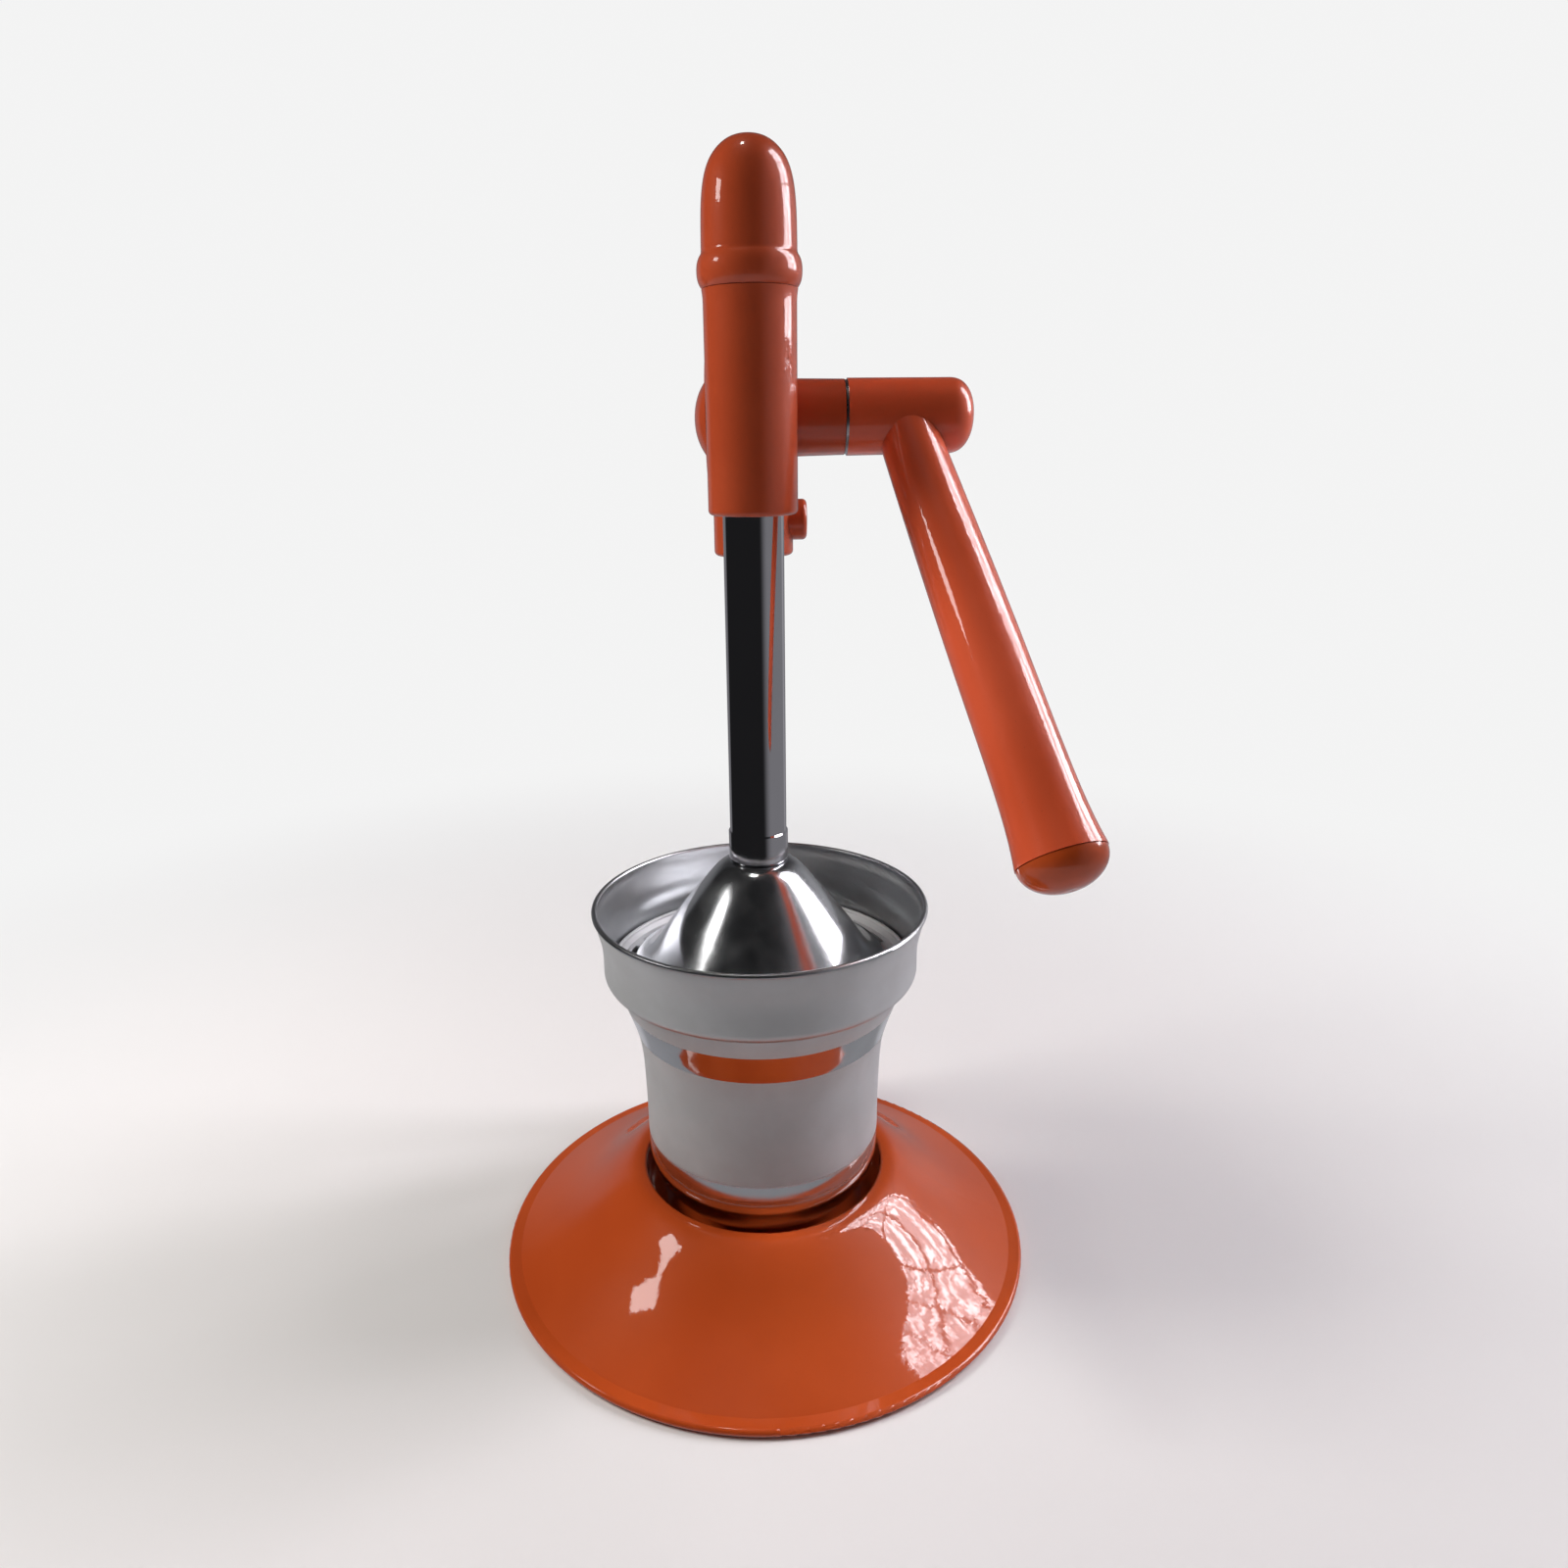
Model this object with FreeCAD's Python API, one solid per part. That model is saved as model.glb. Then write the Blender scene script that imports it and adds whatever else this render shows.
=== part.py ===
import FreeCAD, Part
import math
import os

# Hand-lever citrus press. Lengths are in millimetres, +Z is up, the user stands at -Y and the lever
# is on the +X side. The origin is the centre of the underside, on the surface the press stands on.
# A name ending in CURVE holds the points of a turned section, each a radius and a height.

Vector = FreeCAD.Vector
ORIGIN = Vector(0, 0, 0)
UP = Vector(0, 0, 1)
FULL_TURN = 360.0
SAME = 0.01             # lengths closer than this are taken as equal

# Fits between the pieces
SEAT_GAP = 0.02         # radial gap of two pieces that are fastened together
RUNNING_GAP = 0.05      # radial gap of a shaft in its bush
REST_GAP = 0.2          # gap under a piece that only rests on another
SEAM = 0.2              # visible joint line between two painted castings
WASHER_CLEARANCE = 0.2  # radial gap of a screw in its washer

# Base: a domed casting with a rolled rim, a recess for the cup and a boss for the column
BASE_RADIUS = 100.0
RIM_UNDERSIDE = 0.8
RIM_INNER_RADIUS = 92.0
RIM_OUTER_CURVE = [(98.9, RIM_UNDERSIDE), (99.68, 1.12), (BASE_RADIUS, 1.9)]
RIM_TOP_CURVE = [(BASE_RADIUS, 1.9), (99.62, 2.86), (98.6, 3.3)]
RIM_CREASE = (95.2, 3.7)
LIP_CURVE = [(46.6, 33.8), (45.7, 33.45), (45.4, 32.5)]
DOME_CURVE = [RIM_CREASE, (86, 8.0), (74, 14.9), (62, 24.4), (54, 31.0), (49.5, 33.5), LIP_CURVE[0]]
RECESS_FLOOR = 18.0
RECESS_CURVE = [(45.2, 27.0), (43.2, 20.6), (38.0, RECESS_FLOOR)]
BASE_WALL = 4.0
RECESS_UNDERSIDE = RECESS_FLOOR - BASE_WALL
RECESS_UNDER_CURVE = [(40.5, RECESS_UNDERSIDE), (46.6, 17.4), (49.3, 26.0)]
PAD_RADIUS = 91.0
PAD_THICKNESS = 2.6
CEILING_HIGH = (54, 25.0)
CEILING_LOW = (74, 10.6)
CEILING_CURVE = [RECESS_UNDER_CURVE[-1], CEILING_HIGH, (62, 19.0), CEILING_LOW, (82, 6.0),
                 (88, PAD_THICKNESS)]
CUP_PAD_RADIUS = 18.0
CUP_PAD_THICKNESS = 1.8

# Rear column and its fastening
COLUMN_Y = 74.0
COLUMN_RADIUS = 10.5
COLUMN_WALL = 2.0
COLUMN_BOTTOM = 20.0
COLUMN_TOP = 317.0
BOSS_RADIUS = 17.0
BOSS_TOP = 45.0
BOSS_ROUND = 3.0
BOLT_RADIUS = 5.0
BOLT_HEAD_FLATS = 15.0
BOLT_HEAD_HEIGHT = 6.0
BOLT_LENGTH = 26.0
BOLT_CLEARANCE = 0.3
BOLT_POCKET_RADIUS = 10.2
BOLT_POCKET_TOP = 12.0
WASHER_RADIUS = 9.6
WASHER_THICKNESS = 1.6
PLUG_HEIGHT = 22.0

# Cup and strainer, thin stainless sheet
SHEET = 1.0
CUP_BOTTOM = RECESS_FLOOR + CUP_PAD_THICKNESS + REST_GAP
CUP_RADIUS = 43.8
CUP_BOWL_RADIUS = 25.0
CUP_RIM_RADIUS = 52.8
CUP_RIM_HEIGHT = 113.8
CUP_BOWL_TOP = CUP_BOTTOM + CUP_BOWL_RADIUS
CUP_SIDE_CURVE = [(CUP_RADIUS, CUP_BOWL_TOP), (CUP_RADIUS, 58), (44.1, 73), (44.7, 84), (45.7, 91),
                  (47.3, 97), (49.3, 103), (51.4, 109), (CUP_RIM_RADIUS, CUP_RIM_HEIGHT)]
STRAINER_SHOULDER = CUP_RIM_HEIGHT + REST_GAP
STRAINER_LEDGE = STRAINER_SHOULDER + SHEET
STRAINER_SHOULDER_RADIUS = 53.2
STRAINER_BAND_RADIUS = 57.1
STRAINER_BAND_FOOT = 117.7
SPIGOT_TOP = (51.4, STRAINER_SHOULDER)
SPIGOT_FOOT = (49.3, STRAINER_SHOULDER - 6.5)
LIP_BEAD_RADIUS = 0.95
LIP_BEAD_CENTRE = (59.55, 140.25)
FOOT_CURVE = [(STRAINER_SHOULDER_RADIUS, STRAINER_SHOULDER), (56.0, 115.1),
              (STRAINER_BAND_RADIUS, STRAINER_BAND_FOOT)]
INNER_FOOT_CURVE = [(STRAINER_BAND_RADIUS - SHEET, STRAINER_BAND_FOOT), (55.25, 115.85),
                    (STRAINER_SHOULDER_RADIUS, STRAINER_LEDGE)]
BAND_CURVE = [FOOT_CURVE[-1], (STRAINER_BAND_RADIUS, 125), (57.5, 129.4), (58.4, 133.4), LIP_BEAD_CENTRE]
INNER_BAND_CURVE = [INNER_FOOT_CURVE[0], (STRAINER_BAND_RADIUS - SHEET, 124.5), (56.5, 129.6),
                    (57.4, 133.7), (LIP_BEAD_CENTRE[0] - SHEET, LIP_BEAD_CENTRE[1] + 0.2)]

# Filter in the strainer
FILTER_FLOOR = STRAINER_LEDGE + SHEET
FILTER_FLOOR_RADIUS = 52.0
FILTER_UNDER_RADIUS = 53.2
FILTER_RIM_CURVE = [(55.3, 117.6), (54.35, 118.6), (53.4, 117.6)]
DOME_TOP = 139.5
FILTER_DOME_CURVE = [(37.0, FILTER_FLOOR), (33.5, 117.9), (26.5, 124.4), (19, 131.2), (10.5, 137.0),
                     (0, DOME_TOP)]
FILTER_DOME_UNDER_CURVE = [(36.4, STRAINER_LEDGE), (32.8, 117.0), (25.8, 123.6), (18.3, 130.4),
                           (10, 136.0), (0, DOME_TOP - SHEET)]
RIB_COUNT = 8
RIB_WIDTH = 2.4
RIB_TOP = (7.0, 137.8)
RIB_BOTTOM = (36.5, 115.6)
RIB_CREST_CURVE = [RIB_TOP, (13, 137.3), (21, 131.2), (28.5, 124.4), (34.5, 118.6), RIB_BOTTOM]
RIB_KEEL_CURVE = [RIB_BOTTOM, (33.0, 117.7), (26.0, 124.2), (18.6, 130.8), RIB_TOP]
OUTER_SLOT_RADII = (46.6, 50.0)
OUTER_SLOT_COUNT = 20
INNER_SLOT_RADII = (39.6, 44.2)
INNER_SLOT_COUNT = 16
SLOT_SHARE = 0.62       # open part of each slot's pitch

# Press rod, cone and their screw
ROD_RADIUS = 10.0
ROD_TOP = 331.0
ROD_CHAMFER = 4.5
CONE_TOP = 157.0
CONE_NECK_RADIUS = 10.4
CONE_PLATE = 2.6
CONE_PLATE_UNDERSIDE = CONE_TOP - CONE_PLATE
CONE_CURVE = [(CONE_NECK_RADIUS, CONE_TOP), (13.2, 155.8), (16.8, 152.6), (21.2, 147.4), (25.9, 141.4),
              (30.8, 134.9), (35.2, 128.9), (39.0, 124.0), (42.4, 120.8), (45.8, 119.2)]
CONE_INNER_CURVE = [(45.5, 118.4), (41.7, 119.3), (37.9, 122.6), (34.0, 127.7), (29.5, 133.9),
                    (24.7, 140.3), (20.0, 146.1), (16.2, 150.4), (13.4, CONE_PLATE_UNDERSIDE - 0.6),
                    (10.0, CONE_PLATE_UNDERSIDE)]
FERRULE_TOP = 168.4
FERRULE_RADIUS = 10.5
FERRULE_ROUND = 1.4
FERRULE_CHAMFER = 0.5
SPIGOT_RADIUS = 8.0
CONE_SCREW_RADIUS = 4.0
CONE_SCREW_HEAD_RADIUS = 6.6
CONE_SCREW_HEAD_HEIGHT = 4.0
CONE_SCREW_LENGTH = 22.0
CONE_HOLE_DEPTH = 24.0
CONE_WASHER_RADIUS = 7.6
CONE_WASHER_THICKNESS = 1.0

# Rack and pinion: the pinion axis lies along X behind the rod
MODULE = 1.75
PINION_TEETH = 16
PRESSURE_ANGLE = math.radians(20.0)
PITCH_RADIUS = MODULE * PINION_TEETH / 2
RACK_PITCH_Y = 8.0
PINION_Y = RACK_PITCH_Y + PITCH_RADIUS
PINION_Z = 307.0
PINION_WIDTH = 14.0
RACK_ADDENDUM = 0.9 * MODULE
DEDENDUM = 1.25 * MODULE
TOOTH_THINNING = 0.12
SPACES_BELOW_AXIS = 11
SPACES_ABOVE_AXIS = 2
SHAFT_RADIUS = 5.0
SHAFT_LEFT = -14.6
SHAFT_RIGHT = 61.5
KEY_WIDTH = 3.0
KEY_LENGTH = 12.0
KEY_BOTTOM = 3.6
KEY_TOP = 6.4

# Head casting
TUBE_RADIUS = 14.6
TUBE_BOTTOM = 276.8
TUBE_TOP = 344.3
TUBE_EDGE_ROUND = 1.6
TUBE_FLARE_CURVE = [(TUBE_RADIUS, 340.3), (14.72, 342.7), (14.95, TUBE_TOP)]
GUIDE_BORE_RADIUS = 12.0
LOWER_BUSH_INSET = 0.3
LOWER_BUSH_TOP = 289.0
UPPER_BUSH_BOTTOM = 325.0
UPPER_BUSH_TOP = 340.4
CHAMBER_RADIUS = 17.5
CHAMBER_RIGHT = 8.5
DRUM_RADIUS = 22.0
DRUM_HALF_WIDTH = 12.5
NECK_ROOT_RADIUS = 12.8
NECK_END_RADIUS = 12.2
NECK_END = 31.0
RIGHT_BUSH_RADIUS = 7.5
LEFT_BUSH_RADIUS = 7.0
BUSH_INNER_FACE = 7.6   # distance of both shaft bushes from the pinion's middle
SOCKET_RADIUS = 15.5
SOCKET_BOTTOM = 256.9
SOCKET_TOP = 326.0
SOCKET_ROUND = 5.0
LUG_END = 20.8
LUG_HEIGHT = 270.3
LUG_RADIUS = 7.8
LUG_ROUND = 1.8
SET_SCREW_RADIUS = 4.0
SET_SCREW_INSET = 1.4
SET_SCREW_SOCKET_DEPTH = 3.0
WEB_THICKNESS = 12.0
WEB_OUTLINE = [(4.0, 279.5), (62.0, 266.0), (66.0, 318.0), (44.0, 322.0), (22.0, 328.0), (8.0, 331.0)]

# Gear cover on the left of the drum
COVER_SPIGOT_RADIUS = 17.3
COVER_SPIGOT_FACE = -8.8
COVER_FACE = -15.0
COVER_DOME_CURVE = [(12.6, 15.0), (8.6, 17.45), (0, 19.2)]
COVER_CHAMFER = 0.8
COVER_BORE_FACE = -15.5
COVER_TUBE_CLEARANCE = 0.15
COVER_SCREW_CIRCLE = 19.75
COVER_SCREW_ANGLES = (0.0, 110.0, -110.0)
COVER_SCREW_RADIUS = 1.5
COVER_SCREW_HEAD_RADIUS = 2.7
COVER_SCREW_HEAD_HEIGHT = 1.2
COVER_SCREW_LENGTH = 10.0
SLOT_WIDTH = 0.7
SLOT_DEPTH = 0.6

# Top cap
CAP_SEAT = TUBE_TOP + SEAM
CAP_BEAD_CURVE = [(14.8, CAP_SEAT), (15.9, 346.4), (16.3, 349.3), (16.05, 351.8), (15.35, 353.5)]
CAP_WAIST_CURVE = [CAP_BEAD_CURVE[-1], (14.92, 354.2), (14.75, 355.1)]
CAP_CROWN_CURVE = [CAP_WAIST_CURVE[-1], (14.7, 359.7), (14.25, 370.0), (13.4, 375.3), (11.3, 380.6),
                   (7.1, 384.9), (0, 386.7)]
CAP_INSIDE_CURVE = [(0, 383.3), (5.6, 381.8), (9.2, 378.2), (10.7, 371.0)]
CAP_SPIGOT_RADIUS = 11.9
CAP_SPIGOT_GAP = 0.2

# Lever: a hub on the shaft and an arm that is splayed outward and forward
HUB_LEFT = 32.0
HUB_ROOT_RADIUS = 12.5
HUB_DOME_CURVE = [(12.2, 66.0), (8.2, 72.8), (0, 74.4)]
HUB_BORE_END = 62.0
HUB_WASHER_RADIUS = 12.0
ARM_ROOT = Vector(50.5, PINION_Y, PINION_Z)
ARM_END = Vector(87.6, -71.4, 182.8)
ARM_LENGTH = (ARM_END - ARM_ROOT).Length
ARM_CURVE = [(9.9, 6.0), (10.6, 32), (11.3, 64), (11.75, 96), (11.9, 120), (12.2, 138), (12.75, 149),
             (13.4, 155.5), (14.0, ARM_LENGTH)]
END_SEAT = ARM_LENGTH + SEAM
END_DOME_CURVE = [(13.75, END_SEAT), (12.9, END_SEAT + 3.4), (9.4, END_SEAT + 7.2), (0, END_SEAT + 9.5)]
END_SPIGOT_RADIUS = 8.0
END_SPIGOT_LENGTH = 9.0
END_BORE_DEPTH = 10.0
HUB_SCREW_X = 40.0
HUB_SCREW_RADIUS = 2.5
HUB_SCREW_TOP = 11.6


# ---- small helpers -----------------------------------------------------------------------------

def point(r, z):
    """A point of a section in the XZ plane: radius, then height."""
    return Vector(r, 0, z)


def line(start, end):
    return Part.LineSegment(point(*start), point(*end)).toShape()


def arc(start, middle, end):
    return Part.Arc(point(*start), point(*middle), point(*end)).toShape()


def quarter(centre, radius, first_angle):
    """A quarter circle, anticlockwise from an angle in degrees."""
    def on_circle(angle):
        turn = math.radians(angle)
        return centre[0] + radius * math.cos(turn), centre[1] + radius * math.sin(turn)

    return arc(on_circle(first_angle), on_circle(first_angle + 45), on_circle(first_angle + 90))


def smooth(points, start_direction=None, end_direction=None):
    """A smooth curve through section points, with optional end directions."""
    curve = Part.BSplineCurve()
    options = {"Points": [point(*p) for p in points]}
    if start_direction:
        options["InitialTangent"] = point(*start_direction)
    if end_direction:
        options["FinalTangent"] = point(*end_direction)
    curve.interpolate(**options)
    return curve


def offset_curve(curve, distance, samples=9):
    """A smooth curve beside another one, at an even distance on the left of its direction."""
    first = curve.FirstParameter
    last = curve.LastParameter
    points = []
    for index in range(samples):
        parameter = first + (last - first) * index / (samples - 1)
        tangent = curve.tangent(parameter)[0]
        normal = Vector(-tangent.z, 0, tangent.x).normalize()
        points.append(curve.value(parameter) + normal * distance)
    result = Part.BSplineCurve()
    result.interpolate(Points=points)
    return result


def ends(curve):
    """The two ends of a section curve, each as a radius and a height."""
    start = curve.StartPoint
    end = curve.EndPoint
    return (start.x, start.z), (end.x, end.z)


def lathe(edges):
    """Turn a closed section about the Z axis."""
    wire = Part.Wire(Part.__sortEdges__(edges))
    return Part.Face(wire).revolve(ORIGIN, UP, FULL_TURN)


def outline(points):
    """Straight edges that join section points into a closed section."""
    return [line(a, b) for a, b in zip(points, points[1:] + points[:1])]


def cylinder(radius, bottom, top, x=0.0, y=0.0):
    return Part.makeCylinder(radius, top - bottom, Vector(x, y, bottom), UP)


def ring(outer, inner, bottom, top, x=0.0, y=0.0):
    return cylinder(outer, bottom, top, x, y).cut(cylinder(inner, bottom, top, x, y))


def along_x(shape, y, z):
    """Lay a shape made about the Z axis along +X, with its axis at the given Y and Z."""
    laid = FreeCAD.Placement(Vector(0, y, z), FreeCAD.Rotation(Vector(0, 1, 0), 90))
    result = shape.copy()
    result.Placement = laid.multiply(shape.Placement)
    return result


def on_pinion_axis(shape):
    return along_x(shape, PINION_Y, PINION_Z)


def hexagon(flats, bottom, top, x=0.0, y=0.0):
    """A hexagonal prism given by the distance between its flats."""
    corner = flats / math.sqrt(3)
    corners = []
    for index in range(7):
        angle = math.radians(60.0 * index)
        corners.append(Vector(x + corner * math.cos(angle), y + corner * math.sin(angle), bottom))
    return Part.Face(Part.makePolygon(corners)).extrude(Vector(0, 0, top - bottom))


# ---- base and column ---------------------------------------------------------------------------

def base():
    """Domed casting, hollow beneath, with the cup recess and the column boss."""
    section = [
        line((RIM_INNER_RADIUS, RIM_UNDERSIDE), RIM_OUTER_CURVE[0]),
        arc(*RIM_OUTER_CURVE),
        arc(*RIM_TOP_CURVE),
        line(RIM_TOP_CURVE[-1], RIM_CREASE),
        smooth(DOME_CURVE, end_direction=(-1, 0)).toShape(),
        arc(*LIP_CURVE),
        line(LIP_CURVE[-1], RECESS_CURVE[0]),
        arc(*RECESS_CURVE),
        line(RECESS_CURVE[-1], (0, RECESS_FLOOR)),
        line((0, RECESS_FLOOR), (0, RECESS_UNDERSIDE)),
        line((0, RECESS_UNDERSIDE), RECESS_UNDER_CURVE[0]),
        arc(*RECESS_UNDER_CURVE),
        smooth(CEILING_CURVE).toShape(),
        line(CEILING_CURVE[-1], (RIM_INNER_RADIUS, PAD_THICKNESS)),
        line((RIM_INNER_RADIUS, PAD_THICKNESS), (RIM_INNER_RADIUS, RIM_UNDERSIDE)),
    ]
    boss = cylinder(BOSS_RADIUS, PAD_THICKNESS, BOSS_TOP, y=COLUMN_Y)
    body = lathe(section).fuse(boss).removeSplitter()
    body = body.makeFillet(BOSS_ROUND, [edge for edge in body.Edges if is_boss_top(edge)])
    body = body.makeFillet(BOSS_ROUND, [edge for edge in body.Edges if is_boss_foot(edge)])
    body = body.cut(cylinder(COLUMN_RADIUS + SEAT_GAP, COLUMN_BOTTOM, BOSS_TOP, y=COLUMN_Y))
    body = body.cut(cylinder(BOLT_RADIUS + BOLT_CLEARANCE, BOLT_POCKET_TOP, COLUMN_BOTTOM, y=COLUMN_Y))
    return body.cut(cylinder(BOLT_POCKET_RADIUS, PAD_THICKNESS, BOLT_POCKET_TOP, y=COLUMN_Y))


def middle_of(edge):
    return edge.valueAt((edge.FirstParameter + edge.LastParameter) / 2)


def is_boss_top(edge):
    return abs(middle_of(edge).z - BOSS_TOP) < SAME


def is_boss_foot(edge):
    """True for the slanting edge where the boss meets the upper side of the dome."""
    middle = middle_of(edge)
    on_boss = abs(math.hypot(middle.x, middle.y - COLUMN_Y) - BOSS_RADIUS) < SAME
    slanting = edge.BoundBox.ZLength > BOSS_ROUND and not isinstance(edge.Curve, Part.Line)
    below_round = edge.BoundBox.ZMax < BOSS_TOP - 2 * BOSS_ROUND
    slope = (CEILING_HIGH[1] - CEILING_LOW[1]) / (CEILING_LOW[0] - CEILING_HIGH[0])
    ceiling = CEILING_HIGH[1] - slope * (math.hypot(middle.x, middle.y) - CEILING_HIGH[0])
    return on_boss and slanting and below_round and middle.z > ceiling + BASE_WALL / 2


def base_pad():
    """Anti-slip rubber disc glued under the base."""
    return cylinder(PAD_RADIUS, 0.0, PAD_THICKNESS)


def cup_pad():
    """Rubber disc on the floor of the recess, under the cup."""
    return cylinder(CUP_PAD_RADIUS, RECESS_FLOOR, RECESS_FLOOR + CUP_PAD_THICKNESS)


def column():
    """Chromed steel tube that carries the head."""
    return ring(COLUMN_RADIUS, COLUMN_RADIUS - COLUMN_WALL, COLUMN_BOTTOM, COLUMN_TOP, y=COLUMN_Y)


def column_plug():
    """Threaded plug in the foot of the column."""
    radius = COLUMN_RADIUS - COLUMN_WALL - SEAT_GAP
    return ring(radius, BOLT_RADIUS + SEAT_GAP, COLUMN_BOTTOM, COLUMN_BOTTOM + PLUG_HEIGHT, y=COLUMN_Y)


def column_washer():
    bottom = BOLT_POCKET_TOP - WASHER_THICKNESS
    return ring(WASHER_RADIUS, BOLT_RADIUS + WASHER_CLEARANCE, bottom, BOLT_POCKET_TOP, y=COLUMN_Y)


def column_bolt():
    """Hexagon bolt that pulls the column down on the base."""
    seat = BOLT_POCKET_TOP - WASHER_THICKNESS
    head = hexagon(BOLT_HEAD_FLATS, seat - BOLT_HEAD_HEIGHT, seat, y=COLUMN_Y)
    return head.fuse(cylinder(BOLT_RADIUS, seat, seat + BOLT_LENGTH, y=COLUMN_Y)).removeSplitter()


# ---- cup and strainer --------------------------------------------------------------------------

def juice_cup():
    """Straight-sided cup with a rounded bottom and a flared mouth."""
    flat = CUP_RADIUS - CUP_BOWL_RADIUS
    inner_floor = CUP_BOTTOM + SHEET
    side = smooth(CUP_SIDE_CURVE, start_direction=(0, 1))
    inner_side = offset_curve(side, SHEET)
    inner_start, inner_end = ends(inner_side)
    diagonal = (CUP_BOWL_RADIUS - SHEET) * math.sqrt(0.5)
    section = [
        line((0, CUP_BOTTOM), (flat, CUP_BOTTOM)),
        quarter((flat, CUP_BOWL_TOP), CUP_BOWL_RADIUS, -90),
        side.toShape(),
        line(CUP_SIDE_CURVE[-1], inner_end),
        inner_side.toShape(),
        arc(inner_start, (flat + diagonal, CUP_BOWL_TOP - diagonal), (flat, inner_floor)),
        line((flat, inner_floor), (0, inner_floor)),
        line((0, inner_floor), (0, CUP_BOTTOM)),
    ]
    above_rim = cylinder(CUP_RIM_RADIUS, CUP_RIM_HEIGHT, STRAINER_LEDGE)
    return lathe(section).cut(above_rim)


def strainer_bowl():
    """Open bowl with a rolled lip, a ledge for the filter and a spigot that sits in the cup."""
    ledge_end = (SPIGOT_TOP[0] - SHEET, STRAINER_LEDGE)
    spigot_foot_inside = (SPIGOT_FOOT[0] - SHEET, SPIGOT_FOOT[1])
    section = [
        arc(*FOOT_CURVE),
        smooth(BAND_CURVE, start_direction=(0, 1)).toShape(),
        line(BAND_CURVE[-1], INNER_BAND_CURVE[-1]),
        smooth(INNER_BAND_CURVE, start_direction=(0, 1)).toShape(),
        arc(*INNER_FOOT_CURVE),
        line(INNER_FOOT_CURVE[-1], ledge_end),
        line(ledge_end, spigot_foot_inside),
        line(spigot_foot_inside, SPIGOT_FOOT),
        line(SPIGOT_FOOT, SPIGOT_TOP),
        line(SPIGOT_TOP, FOOT_CURVE[0]),
    ]
    bead = Part.makeTorus(LIP_BEAD_CENTRE[0], LIP_BEAD_RADIUS, Vector(0, 0, LIP_BEAD_CENTRE[1]), UP)
    return lathe(section).fuse(bead)


def drain_slots(radii, count):
    """A ring of curved slots through the filter floor."""
    inner, outer = radii
    bottom = FILTER_FLOOR - 2 * SHEET
    pitch = FULL_TURN / count
    slots = []
    for index in range(count):
        sector = Part.makeCylinder(outer, 3 * SHEET, Vector(0, 0, bottom), UP, pitch * SLOT_SHARE)
        sector = sector.cut(cylinder(inner, bottom, bottom + 3 * SHEET))
        sector.rotate(ORIGIN, UP, pitch * index)
        slots.append(sector)
    return slots


def strainer_filter():
    """Drop-in filter: rolled rim on the ledge, slotted floor and a ribbed dome under the fruit."""
    under_edge = (FILTER_UNDER_RADIUS, STRAINER_LEDGE)
    floor_edge = (FILTER_FLOOR_RADIUS, FILTER_FLOOR)
    section = [
        line(under_edge, FILTER_RIM_CURVE[0]),
        arc(*FILTER_RIM_CURVE),
        line(FILTER_RIM_CURVE[-1], floor_edge),
        line(floor_edge, FILTER_DOME_CURVE[0]),
        smooth(FILTER_DOME_CURVE, start_direction=(-1, 0), end_direction=(-1, 0)).toShape(),
        line(FILTER_DOME_CURVE[-1], FILTER_DOME_UNDER_CURVE[-1]),
        smooth(FILTER_DOME_UNDER_CURVE, start_direction=(-1, 0), end_direction=(-1, 0)).toShape(),
        line(FILTER_DOME_UNDER_CURVE[0], under_edge),
    ]
    body = lathe(section)
    for index in range(RIB_COUNT):
        body = body.fuse(dome_rib(FULL_TURN * index / RIB_COUNT))
    body = body.removeSplitter()
    outer_slots = drain_slots(OUTER_SLOT_RADII, OUTER_SLOT_COUNT)
    inner_slots = drain_slots(INNER_SLOT_RADII, INNER_SLOT_COUNT)
    return body.cut(outer_slots + inner_slots)


def dome_rib(angle):
    """One raised rib that runs down the filter dome."""
    face = Part.Face(Part.Wire([smooth(RIB_CREST_CURVE).toShape(), smooth(RIB_KEEL_CURVE).toShape()]))
    rib = face.extrude(Vector(0, RIB_WIDTH, 0))
    rib.translate(Vector(0, -RIB_WIDTH / 2, 0))
    rib.rotate(ORIGIN, UP, angle)
    return rib


# ---- press rod and cone ------------------------------------------------------------------------

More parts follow.
